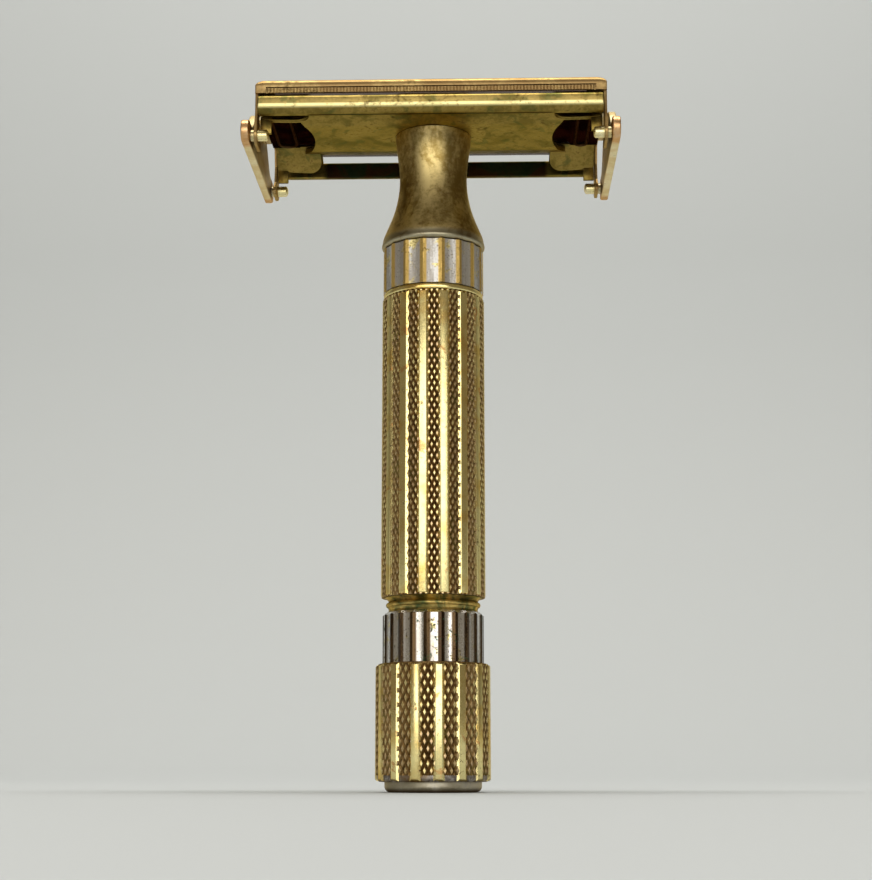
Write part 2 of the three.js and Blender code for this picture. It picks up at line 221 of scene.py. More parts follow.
class Finish:
    """One metal finish under construction: its places, its noises and its shader."""

    def __init__(self, name):
        self.material = bpy.data.materials.new(name)
        self.material.use_nodes = True
        self.tree = self.material.node_tree
        self.shader = self.tree.nodes["Principled BSDF"]
        place = node(self.tree, "ShaderNodeTexCoord", output="Object")
        scale = {"operation": "SCALE"}
        self.place = node(self.tree, "ShaderNodeVectorMath", scale, {0: place, "Scale": 1 / MM})
        apart = self.tree.nodes.new("ShaderNodeSeparateXYZ")
        self.tree.links.new(self.place.socket, apart.inputs[0])
        self.x, self.y, self.z = (Value(self.tree, out) for out in apart.outputs)

    def radius(self):
        """Distance from the handle's axis, in millimetres."""
        return (self.x * self.x + self.y * self.y) ** 0.5

    def stretched(self, x, y, z):
        return node(self.tree, "ShaderNodeMapping", {"vector_type": "POINT"},
                    {"Vector": self.place, "Scale": (x, y, z)})

    def noise(self, size, detail=4.0, roughness=0.55, distortion=0.0, vector=None):
        """Soft blotches of about this size in millimetres."""
        return node(self.tree, "ShaderNodeTexNoise", {"noise_dimensions": "3D"},
                    {"Vector": vector or self.place, "Scale": 1 / size, "Detail": detail,
                     "Roughness": roughness, "Distortion": distortion})

    def mix(self, factor, first, second):
        settings = {"data_type": "RGBA", "blend_type": "MIX", "clamp_factor": True}
        inputs = {MIX_FACTOR: factor, MIX_FIRST: first, MIX_SECOND: second}
        return node(self.tree, "ShaderNodeMix", settings, inputs, output=MIX_RESULT)

    def cavity(self, reach):
        """Ambient occlusion for painted shade: 1 in the open, towards 0 in a recess."""
        return node(self.tree, "ShaderNodeAmbientOcclusion", {"samples": 8, "only_local": False},
                    {"Distance": reach * MM}, output="AO")

    def build(self, colour, roughness, bump, bump_depth, edge_tint=(1.0, 1.0, 1.0)):
        """Links the shader. The edge tint colours what the metal reflects at a grazing angle."""
        link = self.tree.links.new
        self.shader.inputs["Metallic"].default_value = 1.0
        self.shader.inputs["Specular Tint"].default_value = (*edge_tint, 1.0)
        link(colour.socket, self.shader.inputs["Base Color"])
        link(roughness.socket, self.shader.inputs["Roughness"])
        normal = node(self.tree, "ShaderNodeBump", {},
                      {"Strength": 1.0, "Distance": bump_depth * MM, "Height": bump})
        link(normal.socket, self.shader.inputs["Normal"])
        return self.material


# ---- Colours ----

GOLD = (0.82, 0.58, 0.18)
PALE_GOLD = (0.93, 0.81, 0.38)
ORANGE_BRASS = (0.62, 0.28, 0.08)
RUBBED_BRASS = (0.50, 0.33, 0.13)
OLIVE_BRASS = (0.19, 0.135, 0.030)
CREAM_GOLD = (0.92, 0.84, 0.58)
PINK_GOLD = (0.92, 0.72, 0.52)
BROWN = (0.070, 0.034, 0.012)
UMBER = (0.21, 0.13, 0.055)
RED_BROWN = (0.060, 0.020, 0.010)
NICKEL = (0.70, 0.69, 0.66)
WHITE_NICKEL = (0.84, 0.82, 0.77)
DULL_BEIGE = (0.62, 0.57, 0.44)
VERDIGRIS = (0.040, 0.095, 0.045)
GREEN_BLACK = (0.006, 0.018, 0.010)
OLIVE = (0.16, 0.14, 0.04)
BLADE_STEEL = (0.60, 0.60, 0.63)
WARM_EDGE = (0.82, 0.66, 0.42)
OLIVE_EDGE = (0.78, 0.67, 0.44)
# Painted shade: a dark edge tint dims grazing reflections on parts deep in the head.
SHADE_EDGE_TINT = (0.25, 0.14, 0.08)


def worn_gold(name, light, dark, brown=0.5, green=0.2, nickel=0.1, gloss=0.22,
              grain=(1.0, 1.0, 1.0), recess=0.8, ends=None, edge_tint=WARM_EDGE):
    """Gold plating with brown patina, painted shade in its recesses, blotches of green and patches
    of nickel.

    Ends are two distances in front of or behind the axis. The plating turns orange-brown from the
    first to the second.
    """
    finish = Finish(name)
    large = finish.noise(3.2, 5.0, 0.6, 0.4)
    small = finish.noise(0.5, 6.0, 0.65)
    brushed = finish.noise(0.12, 3.0, 0.6, vector=finish.stretched(*grain))
    # Painted shade: ambient occlusion marks the recesses.
    occlusion_shade = (1.0 - finish.cavity(recess)).between(0.25, 0.95)
    plate = finish.mix(large.between(0.38, 0.64), dark, light)
    rubbed = (small * 0.6 + large * 0.4).between(0.60 - 0.2 * nickel, 0.70)
    plate = finish.mix(rubbed * nickel, plate, NICKEL)
    if ends:
        far = abs(finish.y).between(*ends)
        plate = finish.mix(far * (0.35 + small * 0.7), plate, ORANGE_BRASS)
    patina = (large * 0.5 + small * 0.5).between(0.62 - 0.22 * brown, 0.80 - 0.22 * brown)
    shade = finish.mix(patina * (0.25 + 0.6 * brown), plate, BROWN)
    # Painted shade: recesses are darkened towards brown.
    shade = finish.mix(occlusion_shade * 0.9, shade, BROWN)
    blotch = finish.noise(2.3, 6.0, 0.7, 0.8).between(0.60 - 0.18 * green, 0.72 - 0.12 * green)
    shade = finish.mix(blotch * green, shade, VERDIGRIS)
    roughness = gloss + patina * 0.25 + occlusion_shade * 0.25 + small * 0.12
    return finish.build(shade, roughness, small * 0.5 + brushed * 0.5, 0.012, edge_tint)


def knurled_gold(name, valley, peak):
    """Pale gold on the worn tips and brown patina in the cuts, by distance from the axis."""
    finish = Finish(name)
    large = finish.noise(4.0, 4.0, 0.6, 0.3)
    small = finish.noise(0.4, 5.0, 0.7)
    raised = finish.radius().between(valley, peak)
    plate = finish.mix(large.between(0.42, 0.62), PALE_GOLD, PINK_GOLD)
    dull = (small * 0.5 + large * 0.5).between(0.38, 0.56)
    tips = finish.mix(dull * 0.75, plate, RUBBED_BRASS)
    cuts = finish.mix(small.between(0.36, 0.60), (0.115, 0.068, 0.024), (0.28, 0.18, 0.070))
    cuts = finish.mix(large.between(0.54, 0.66) * 0.5, cuts, OLIVE)
    shade = finish.mix(raised, cuts, tips)
    roughness = 0.44 - raised * 0.2 + small * 0.14
    return finish.build(shade, roughness, small, 0.012, WARM_EDGE)


def rib_gold(name):
    """Polished gold with brown flecks and a few orange patches."""
    finish = Finish(name)
    large = finish.noise(5.0, 4.0, 0.6)
    small = finish.noise(0.45, 6.0, 0.7, 0.3)
    patch = finish.noise(2.6, 5.0, 0.65, 0.6).between(0.60, 0.68)
    plate = finish.mix(large.between(0.32, 0.54), GOLD, PALE_GOLD)
    plate = finish.mix(patch * 0.7, plate, ORANGE_BRASS)
    flecks = (small * 0.65 + large * 0.35).between(0.57, 0.65)
    shade = finish.mix(flecks * 0.8, plate, BROWN)
    roughness = 0.14 + flecks * 0.3 + patch * 0.12 + small * 0.1
    return finish.build(shade, roughness, small, 0.008, WARM_EDGE)


def fluted_nickel(name, rim, silver, ridge, brown, specked, green, gloss):
    """Flutes rubbed through to nickel, ridges of another colour, brown streaks and dark specks."""
    finish = Finish(name)
    large = finish.noise(1.6, 4.0, 0.6, 0.5)
    small = finish.noise(0.26, 5.0, 0.7, 0.4)
    streak = finish.noise(0.9, 4.0, 0.6, vector=finish.stretched(1.0, 1.0, 0.1))
    out = finish.radius().between(rim - 0.17, rim - 0.11)
    plate = finish.mix(large.between(0.54, 0.66), silver, PALE_GOLD)
    plate = finish.mix(out, plate, ridge)
    tarnish = (streak * 0.75 + small * 0.25).between(0.44, 0.54)
    plate = finish.mix(tarnish * brown, plate, UMBER)
    specks = (small * 0.7 + large * 0.3).between(0.555, 0.60)
    shade = finish.mix(specks * specked, plate, BROWN)
    stain = finish.noise(1.9, 5.0, 0.7, 1.2).between(0.58, 0.66)
    shade = finish.mix(stain * green, shade, VERDIGRIS)
    roughness = gloss + specks * 0.3 + stain * (0.3 * green) + tarnish * 0.12 + small * 0.1
    return finish.build(shade, roughness, small, 0.01)


def satin_neck(name, lip):
    """Rubbed satin brass on the flare, with a dull nickel edge at its lip."""
    finish = Finish(name)
    large = finish.noise(3.6, 5.0, 0.6, 0.8, vector=finish.stretched(1.0, 1.0, 0.5))
    small = finish.noise(0.55, 6.0, 0.7)
    grain = finish.noise(0.16, 3.0, 0.6)
    tone = large * 0.6 + small * 0.4
    plate = finish.mix(tone.between(0.40, 0.58), (0.36, 0.25, 0.075), (0.72, 0.57, 0.25))
    edge = 1.0 - finish.z.between(lip + 0.8, lip + 1.5)
    shade = finish.mix(edge * 0.85, plate, (0.36, 0.34, 0.25))
    stain = finish.noise(2.4, 5.0, 0.65, 1.0).between(0.54, 0.66)
    shade = finish.mix(stain * 0.45, shade, (0.20, 0.11, 0.03))
    # Painted shade: ambient occlusion darkens the recesses towards brown.
    occlusion_shade = (1.0 - finish.cavity(0.8)).between(0.3, 0.95)
    shade = finish.mix(occlusion_shade * 0.9, shade, BROWN)
    roughness = 0.30 + tone * 0.16 - edge * 0.04
    return finish.build(shade, roughness, grain * 0.7 + small * 0.3, 0.02, WARM_EDGE)


def guard_tarnish(name):
    """Olive brass under the head, with painted shade in its recesses. A bar has a painted highlight
    line outside; inside, it is painted near-black shade with some real verdigris.
    """
    finish = Finish(name)
    large = finish.noise(3.4, 5.0, 0.6, 0.5)
    small = finish.noise(0.5, 6.0, 0.65)
    out = abs(finish.y)
    middle = 1.0 - abs(finish.x).between(14.2, 15.0)
    tone = (large * 0.6 + small * 0.4).between(0.40, 0.60)
    plate = finish.mix(tone, OLIVE_BRASS, (0.37, 0.26, 0.065))
    face = out.between(12.3, 12.55)
    # Painted highlight: a pale gold line along each bar's lower outer edge.
    line = face * finish.z.between(79.9, 80.15) * (1.0 - finish.z.between(80.4, 80.6))
    plate = finish.mix(face * 0.3, plate, (0.40, 0.31, 0.13))
    blotch = finish.noise(2.8, 4.0, 0.55, 0.5).between(0.50, 0.64)
    shade = finish.mix(blotch * 0.6, plate, (0.13, 0.11, 0.025))
    green = finish.noise(2.0, 4.0, 0.55, 0.5).between(0.56, 0.66)
    shade = finish.mix(green * 0.5, shade, (0.05, 0.085, 0.025))
    # Paints the highlight line in pale gold.
    shade = finish.mix(line * 0.8, shade, PALE_GOLD)
    brown = (small * 0.6 + large * 0.4).between(0.52, 0.64)
    shade = finish.mix(brown * 0.5, shade, BROWN)
    # Painted shade: ambient occlusion darkens the recesses under the head towards red-brown.
    occlusion_shade = (1.0 - finish.cavity(2.2)).between(0.30, 0.95)
    shade = finish.mix(occlusion_shade * 0.85, shade, RED_BROWN)
    # Painted shade with some real verdigris: each bar's inner face is made near-black, dark green
    # in blotches.
    inner_face_shade = out.between(11.0, 11.15) * (1.0 - out.between(11.5, 11.9)) * middle
    shade_and_verdigris = finish.mix(large.between(0.42, 0.56), (0.030, 0.012, 0.007), GREEN_BLACK)
    shade = finish.mix(inner_face_shade * 0.95, shade, shade_and_verdigris)
    roughness = 0.30 + brown * 0.16 + occlusion_shade * 0.2 + blotch * 0.1 + small * 0.1
    return finish.build(shade, roughness, small * 0.5 + large * 0.5, 0.02, OLIVE_EDGE)


def bare_metal(name, colour, gloss, size=0.4, recess=1.2, edges=None, edge_tint=(1.0, 1.0, 1.0)):
    """Plain metal with a fine drawn grain, a light haze, painted shade in its corners and, if
    asked, painted shade along its edges.
    """
    finish = Finish(name)
    haze = finish.noise(1.5, 4.0, 0.6)
    grain = finish.noise(size, 5.0, 0.6, vector=finish.stretched(0.25, 1.0, 1.0))
    occlusion_shade = (1.0 - finish.cavity(recess)).between(0.3, 0.95)
    dark = tuple(0.6 * part for part in colour)
    shade = finish.mix(haze.between(0.4, 0.7) * 0.5, colour, dark)
    # Painted shade: ambient occlusion darkens corners towards brown.
    shade = finish.mix(occlusion_shade * 0.8, shade, BROWN)
    # Painted shade: points beyond the given distances from the axis are darkened towards brown.
    if edges:
        far = abs(finish.y).between(*edges)
        shade = finish.mix(far * 0.9, shade, BROWN)
    return finish.build(shade, gloss + grain * 0.15 + occlusion_shade * 0.2, grain, 0.004, edge_tint)


barrel_radius = high("handle_barrel").y
knob_radius = high("knob_shell").y
KNURL_DEPTH = 0.2
RUBBED_FROM, RUBBED_FULLY = 0.12, 0.055  # how far below the ribs the knurl starts and ends to shine

rib_finish = rib_gold("polished_rib_gold")
barrel_finish = knurled_gold("barrel_knurl_gold", barrel_radius - RUBBED_FROM,
                             barrel_radius - RUBBED_FULLY)
knob_finish = knurled_gold("knob_knurl_gold", knob_radius - RUBBED_FROM,
                           knob_radius - RUBBED_FULLY)
door_finish = worn_gold("door_gold", (0.52, 0.37, 0.15), (0.34, 0.22, 0.09), brown=0.6, green=0.15,
                        nickel=0.05, gloss=0.32, grain=(0.15, 1, 1), recess=0.6)
guard_finish = guard_tarnish("guard_brass")
# Painted shade: the blade bed deep in the head is near-black red-brown, with dimmed edge
# reflections.
recess_shade_finish = worn_gold("recess_brass_painted_shade", (0.040, 0.012, 0.005), (0.010, 0.003, 0.002), brown=0.0,
                          green=0.0, nickel=0.0, gloss=0.5, recess=2.5, edge_tint=SHADE_EDGE_TINT)
plate_finish = worn_gold("end_plate_gold", CREAM_GOLD, (0.78, 0.64, 0.36), brown=0.3, green=0.0,
                         nickel=0.1, gloss=0.28, recess=0.8, ends=(9.2, 10.6))
pin_finish = worn_gold("pin_gold", (0.90, 0.80, 0.52), PALE_GOLD, brown=0.2, green=0.0, nickel=0.2,
                       gloss=0.22)
groove_finish = worn_gold("bead_ring_gold", GOLD, OLIVE, brown=0.6, green=0.75, nickel=0.0,
                          gloss=0.26, recess=1.4)
base_finish = worn_gold("knob_base_brass", DULL_BEIGE, (0.40, 0.36, 0.26), brown=0.35, green=0.0,
                        nickel=0.6, gloss=0.36, recess=0.9)
skirt_finish = worn_gold("knob_skirt_nickel", NICKEL, UMBER, brown=0.9, green=0.0, nickel=0.8,
                         gloss=0.3)
neck_finish = satin_neck("satin_neck_brass", low("bell_neck").z)
collar_finish = fluted_nickel("collar_nickel", high("upper_fluted_collar").y, NICKEL, GOLD,
                              brown=0.35, specked=0.3, green=0.0, gloss=0.36)
lower_ring_finish = fluted_nickel("lower_ring_nickel", high("lower_fluted_ring").y, WHITE_NICKEL,
                                  (0.055, 0.035, 0.020), brown=0.35, specked=0.95, green=1.0,
                                  gloss=0.14)
# The blade's long edges, between the doors and the bars, get painted shade.
steel_finish = bare_metal("blade_steel", BLADE_STEEL, 0.18, edges=(9.9, 10.3))
brass_finish = bare_metal("bare_brass", RUBBED_BRASS, 0.3)
# Painted shade: the springs deep in the head are dark brown, with dimmed edge reflections.
shaded_spring_finish = bare_metal("spring_wire", (0.085, 0.050, 0.022), 0.35, 0.2, recess=2.5,
                           edge_tint=SHADE_EDGE_TINT)

# ---- Handle ----

RIBS = 15
SLEEVE_BORE = 5.35  # inside the barrel, trim ring and collar
STEM_BORE = 3.75  # inside the rings that the knob's stem turns in
NECK_BORE = 2.4
KNOB_BORE = 5.8
BARREL_KNURL = (60, 1.35, 0.18)  # diamonds round the sleeve, a diamond's height, its tip's inset
KNOB_KNURL = (54, 1.66, 0.22)
BARREL_PHASE = 14.0
KNOB_PHASE = 7.5


def trim(bm, point, outward):
    """Cuts away what lies beyond a plane."""
    everything = bm.verts[:] + bm.edges[:] + bm.faces[:]
    bmesh.ops.bisect_plane(bm, geom=everything, dist=ON_PLANE, plane_co=point, plane_no=outward,
                           clear_outer=True)


def knurl_sheet(width, height, columns, row, tip_inset, depth):
    """A flat sheet of raised diamonds round the origin: a square grid turned by 45 degrees."""
    bm = bmesh.new()
    cells = columns + math.ceil(height / row) + 4
    bmesh.ops.create_grid(bm, x_segments=cells, y_segments=cells, size=cells / (2 * math.sqrt(2)))
    turn = Matrix.Rotation(math.pi / 4, 3, "Z")
    bmesh.ops.rotate(bm, verts=bm.verts, cent=(0, 0, 0), matrix=turn)
    bmesh.ops.scale(bm, vec=(width / columns, row, 1), verts=bm.verts)
    for side in (-1, 1):
        trim(bm, (side * width / 2, 0, 0), (side, 0, 0))
        trim(bm, (0, side * (height / 2 + row), 0), (0, side, 0))
    whole = [face for face in bm.faces if len(face.verts) == 4]
    bmesh.ops.inset_individual(bm, faces=whole, thickness=tip_inset, depth=depth,
                               use_even_offset=True)
    for side in (-1, 1):
        trim(bm, (0, side * height / 2, 0), (0, side, 0))
    return bm


def wrap(bm, radius, middle):
    """Rolls a flat sheet round the handle: its width goes round and its height goes up."""
    for vert in bm.verts:
        x, y = around(math.degrees(vert.co.x / radius), radius + vert.co.z)
        vert.co = (x, y, middle + vert.co.y)
    bmesh.ops.remove_doubles(bm, verts=bm.verts, dist=4 * WELD)


def close_ends(bm, bore, bottom, top):
    """Turns the two open rims in to the bore and joins them, so the sleeve is a closed wall."""
    inner = []
    for height in (bottom, top):
        rim = [edge for edge in bm.edges if edge.is_boundary
               and all(abs(vert.co.z - height) < 0.01 for vert in edge.verts)]
        grown = bmesh.ops.extrude_edge_only(bm, edges=rim)["geom"]
        for vert in (item for item in grown if isinstance(item, bmesh.types.BMVert)):
            vert.co.xy = vert.co.xy.normalized() * bore
        inner += [item for item in grown
                  if isinstance(item, bmesh.types.BMEdge) and item.is_boundary]
    bmesh.ops.bridge_loops(bm, edges=inner)
    bmesh.ops.recalc_face_normals(bm, faces=bm.faces)


def knurled_sleeve(name, body, radius, bore, bottom, top, knurl, finish, replaces=()):
    """Rolled diamond knurl all round a sleeve. The ribs lie over it."""
    root = radius - KNURL_DEPTH - 0.05
    width = 2 * math.pi * root
    bm = knurl_sheet(width, top - bottom, *knurl, KNURL_DEPTH)
    wrap(bm, root, (top + bottom) / 2)
    close_ends(bm, bore, bottom, top)
    return piece(name, bm, body, finish, replaces, crease=20)


def ribs(name, body, radius, width, bottom, top, phase, chamfer):
    """Smooth ribs that rise out of the knurl, with softened edges."""
    bm = bmesh.new()
    crown, foot, shoulder, sunk = width / 2, width / 2 + 0.28, radius - 0.24, radius - 0.55
    near_crown = 0.1
    section = [(-foot, sunk), (-foot, shoulder), (-crown, radius), (crown, radius),
               (foot, shoulder), (foot, sunk)]
    rib = prism(bm, section, "Z", bottom, top)
    for vert in rib:
        if vert.co.y > radius - near_crown:
            vert.co.z += chamfer * (1 if vert.co.z < (bottom + top) / 2 else -1)
    crown_edges = [edge for edge in sharp_edges(rib, 20)
                   if min(vert.co.y for vert in edge.verts) > radius - near_crown]
    soften(bm, crown_edges, 0.07, 2)
    first = bm.verts[:] + bm.edges[:] + bm.faces[:]
    for number in range(RIBS):
        grown = bmesh.ops.duplicate(bm, geom=first)["geom"]
        verts = [item for item in grown if isinstance(item, bmesh.types.BMVert)]
        turn = Matrix.Rotation(math.radians(phase + number * 360 / RIBS - 180), 3, "Z")
        bmesh.ops.rotate(bm, verts=verts, cent=(0, 0, 0), matrix=turn)
    bmesh.ops.delete(bm, geom=first, context="VERTS")
    return piece(name, bm, body, rib_finish)


def fluted(name, node_name, body, flutes, phase, depth, chamfer, bore, finish):
    """A ring with hollow flutes all round and an eased top edge, in place of a CAD ring."""
    bottom, top = low(node_name).z, high(node_name).z
    radius = high(node_name).y
    steps = 8
    bm = bmesh.new()
    rim = []
    for step in range(flutes * steps):
        dip = depth * math.sin(math.pi * (step % steps) / steps)
        x, y = around(phase + step * 360 / flutes / steps, radius - dip)
        rim.append(bm.verts.new((x, y, bottom)))
    edges = [bm.edges.new(pair) for pair in zip(rim, rim[1:] + rim[:1])]
    for height, inset in ((top - chamfer, 0.0), (top, chamfer)):
        grown = bmesh.ops.extrude_edge_only(bm, edges=edges)["geom"]
        for vert in (item for item in grown if isinstance(item, bmesh.types.BMVert)):
            vert.co.z = height
            vert.co.xy *= (radius - inset) / radius
        edges = [item for item in grown if isinstance(item, bmesh.types.BMEdge)
                 and all(abs(vert.co.z - height) < ON_PLANE for vert in item.verts)]
    close_ends(bm, bore, bottom, top)
    return piece(name, bm, body, finish, [node_name], crease=24)


def smooth_outline(points, steps):
    """Runs a smooth curve through an outline's points."""
    padded = [points[0]] + points + [points[-1]]
    curve = []
    for before, start, end, after in zip(padded, padded[1:], padded[2:], padded[3:]):
        for step in range(steps):
            t = step / steps
            curve.append(tuple(
                0.5 * (2 * b + (c - a) * t + (2 * a - 5 * b + 4 * c - d) * t * t
                       + (3 * b - a - 3 * c + d) * t ** 3)
                for a, b, c, d in zip(before, start, end, after)))
    return curve + [points[-1]]


def turned_piece(name, outline, body, finish, replaces=(), crease=32):
    bm = bmesh.new()
    turned(bm, outline)
    return piece(name, bm, body, finish, replaces, crease)


def handle():
    bottom, top = low("handle_barrel").z, high("handle_barrel").z
    knurled_sleeve("barrel_knurl", "handle", barrel_radius, SLEEVE_BORE, bottom, top, BARREL_KNURL,
                   barrel_finish, ["handle_barrel"])
    ribs("barrel_ribs", "handle", barrel_radius, 0.86, bottom, top, BARREL_PHASE, chamfer=0.18)

    bottom, top = low("upper_trim_ring").z, high("upper_trim_ring").z
    radius = high("upper_trim_ring").y
    bend = 0.3
    rounded = arc((radius - bend, bottom + bend), bend, -90, 0, 4)
    rounded += arc((radius - bend, top - bend), bend, 0, 90, 4)
    bore = [(SLEEVE_BORE, top), (SLEEVE_BORE, bottom)]
    turned_piece("trim_ring", rounded + bore, "handle", rib_finish,
                 ["upper_trim_ring"])
    fluted("fluted_collar", "upper_fluted_collar", "handle", flutes=17, phase=11.2, depth=0.26,
           chamfer=0.1, bore=SLEEVE_BORE, finish=collar_finish)

    bottom, top = low("bell_neck").z, high("bell_neck").z
    lip_radius, roll = 6.38, 0.42
    lip = arc((lip_radius - roll, bottom + roll), roll, -90, 35, 6)
    flare = [(6.24, bottom + 1.1), (6.1, bottom + 1.6), (5.62, bottom + 2.75), (5.12, bottom + 4.0),
             (4.7, bottom + 5.3), (4.43, bottom + 6.5), (4.24, bottom + 7.8), (4.18, bottom + 9.1),
             (4.24, bottom + 10.5), (4.45, bottom + 12.2), (4.66, bottom + 13.9), (4.7, top)]
    bore = [(NECK_BORE, top), (NECK_BORE, bottom)]
    turned_piece("flared_neck", lip + smooth_outline(flare, 3) + bore, "handle",
                 neck_finish, ["bell_neck"], crease=50)

    fluted("lower_ring", "lower_fluted_ring", "handle", flutes=22, phase=10.9, depth=0.2,
           chamfer=0.35, bore=STEM_BORE, finish=lower_ring_finish)
    bottom, top = low("lower_bead_ring").z, high("lower_bead_ring").z
    middle = (bottom + top) / 2
    bead = [(5.4, bottom), (5.3, bottom + 0.25)] + arc((5.35, middle), 0.3, -80, 80, 8)
    flare = [(5.3, middle + 0.42), (5.45, top - 0.22), (5.8, top)]
    bore = [(STEM_BORE, top), (STEM_BORE, bottom)]
    turned_piece("bead_ring", bead + flare + bore, "handle", groove_finish,
                 ["lower_bead_ring"])


def knob():
    bottom, top = low("knob_shell").z, high("knob_shell").z
    knurl_bottom, knurl_top = bottom + 0.75, top - 0.25
    knurled_sleeve("knob_knurl", "knob", knob_radius, KNOB_BORE + 0.1, knurl_bottom, knurl_top,
                   KNOB_KNURL, knob_finish, ["knob_shell"])
    ribs("knob_ribs", "knob", knob_radius, 0.76, bottom + 0.1, top - 0.12, KNOB_PHASE, chamfer=0.22)
    root = knob_radius - KNURL_DEPTH
    crown = [(5.25, knurl_top - 0.75), (root - 0.1, knurl_top - 0.05), (root, knurl_top)]
    crown += arc((root - 0.3, top - 0.3), 0.3, 10, 80, 5) + [(3.65, top), (3.65, knurl_top - 0.75)]
    turned_piece("knob_crown", crown, "knob", knob_finish)
    skirt = [(KNOB_BORE, bottom)] + arc((root - 0.45, bottom + 0.45), 0.45, -90, 0, 5)
    skirt += [(root, knurl_bottom + 0.02), (root - 0.15, knurl_bottom + 0.1),
              (KNOB_BORE, knurl_bottom + 0.1)]
    turned_piece("knob_skirt", skirt, "knob", skirt_finish)
    disc_radius = high("knob_base_disc").y
    disc = [(0, 0)] + arc((disc_radius - 0.7, 0.7), 0.7, -90, 0, 8) + [(disc_radius, 2.4), (0, 2.4)]
    turned_piece("knob_foot", disc, "knob", base_finish, ["knob_base_disc"])


# ---- Head ----

pin_y = (high("pivot_pin_rear_left").y + low("pivot_pin_rear_left").y) / 2
pin_z = (high("pivot_pin_rear_left").z + low("pivot_pin_rear_left").z) / 2
pin_radius = (high("pivot_pin_rear_left").z - low("pivot_pin_rear_left").z) / 2
guard_half = high("guard_frame").x
GUARD_TOP = 82.12
GUARD_UNDER = 80.6
EAR = (20.72, 21.1)
SIDE_PLATE = (21.6, 22.55)


def guard_trough(bm):
    """The sheet over the neck: its plan has hollow ends, and both its long sides fold up."""
    thick, fold, edge, side_y, reach, middle = 0.6, 4.5, 8.25, 6.5, 16.8, 14.9
    lead = reach - middle
    end_radius = (side_y ** 2 + lead ** 2) / (2 * lead)
    half_turn = math.degrees(math.asin(side_y / end_radius))
    hollow = arc((middle + end_radius, 0), end_radius, 180 + half_turn, 180 - half_turn, 12)
    right = [(reach, -edge)] + hollow + [(reach, edge)]
    left = [(-x, -y) for x, y in right]
    verts = prism(bm, right + left, "Z", GUARD_UNDER, GUARD_UNDER + thick)
    faces = {face for vert in verts for face in vert.link_faces}
    geom = list(verts) + list({e for f in faces for e in f.edges}) + list(faces)
    for line in (-fold, fold):
        cut = bmesh.ops.bisect_plane(bm, geom=geom, dist=ON_PLANE, plane_co=(0, line, 0),
                                     plane_no=(0, 1, 0))
        geom = list(set(cut["geom"]) | set(cut["geom_cut"]))
    slope = (GUARD_TOP - GUARD_UNDER - thick) / (edge - fold)
    for vert in (item for item in geom if isinstance(item, bmesh.types.BMVert)):
        vert.co.z += max(0.0, abs(vert.co.y) - fold) * slope


def guard_web(bm, side, end):
    """An end web: a sheet out to the bar, and two thin leaves that slope down beside it."""
    web_start, lug_start, bend = 14.9, 19.25, 1.5
    start, stop = sorted((end * web_start, end * guard_half))
    sheet = [(6.5, GUARD_TOP), (10.6, GUARD_TOP), (11.9, 81.45), (11.9, 80.95), (10.45, 81.65),
             (6.9, 81.65)]
    soften(bm, sharp_edges(prism(bm, on_side(sheet, side), "X", start, stop)), 0.06, 1)
    # A leaf is drawn flat at height 0, well below the rest of the guard, and then moved up.
    below_guard = 5
    fall = Vector((0, 1, -1)).normalized()
    out = Vector((0, 1, 1)).normalized()
    for offset, length, thick in ((0.0, 3.75, 0.28), (0.34, 4.0, 0.22)):
        leaf = [(web_start, 0)] + arc((web_start + bend, length - bend), bend, 180, 90, 6)
        leaf += [(18.6, length - 0.12), (guard_half, length - 0.35), (guard_half, 0)]
        verts = prism(bm, [(end * x, v) for x, v in leaf], "Z", offset, offset + thick)
        soften(bm, sharp_edges(verts), 0.06, 1)
        for vert in (vert for vert in bm.verts if vert.co.z < below_guard):
            x, v, rise = vert.co
            place = Vector((0, 6.35, GUARD_TOP - 0.1)) + fall * v + out * rise
            vert.co = (x, side * place.y, place.z)
    lug = [(8.75, 80.0), (9.25, 80.1), (9.3, 78.0), (8.8, 78.0)]
    start, stop = sorted((end * lug_start, end * guard_half))
    soften(bm, sharp_edges(prism(bm, on_side(lug, side), "X", start, stop)), 0.08, 2)


def guard_bar(bm, side):
    section = [(11.2, 79.55), (11.3, 79.42), (11.85, 79.42), (12.0, 79.48), (12.5, 80.02),
               (12.6, 80.25), (12.6, 81.25), (12.42, 81.47), (11.35, 81.5), (11.2, 81.35)]
    verts = prism(bm, on_side(section, side), "X", -guard_half, guard_half)
    ends = [edge for edge in sharp_edges(verts, 60)
            if abs(edge.verts[0].co.x - edge.verts[1].co.x) < 0.01]
    soften(bm, ends, 0.3, 4)


def guard():
    bm = bmesh.new()
    guard_trough(bm)
    for side in (-1, 1):
        guard_bar(bm, side)
        for end in (-1, 1):
            guard_web(bm, side, end)
    bmesh.ops.recalc_face_normals(bm, faces=bm.faces)
    piece("guard", bm, "handle", guard_finish, ["guard_frame"])


def door_outline(crown, edge, split, inset=0.0):
    """The door's outer surface from its edge, over the shoulder and up the dome to the split."""
    dome, turn, shoulder = 35.0, 17.1, 0.85
    end = math.radians(90 - turn)
    centre = (split + (dome - shoulder) * math.cos(end),
              crown - dome + (dome - shoulder) * math.sin(end))
    lip = centre[0] + shoulder - inset
    outer = [(lip - 0.22, edge), (lip - 0.22, edge + 0.68), (lip - 0.02, edge + 0.74)]
    outer += arc(centre, max(shoulder - inset, 0.08), 0, 90 - turn, 8)
    outer += arc((split, crown - dome), dome - inset, 90 - turn, 90, 10)[1:]
    return outer


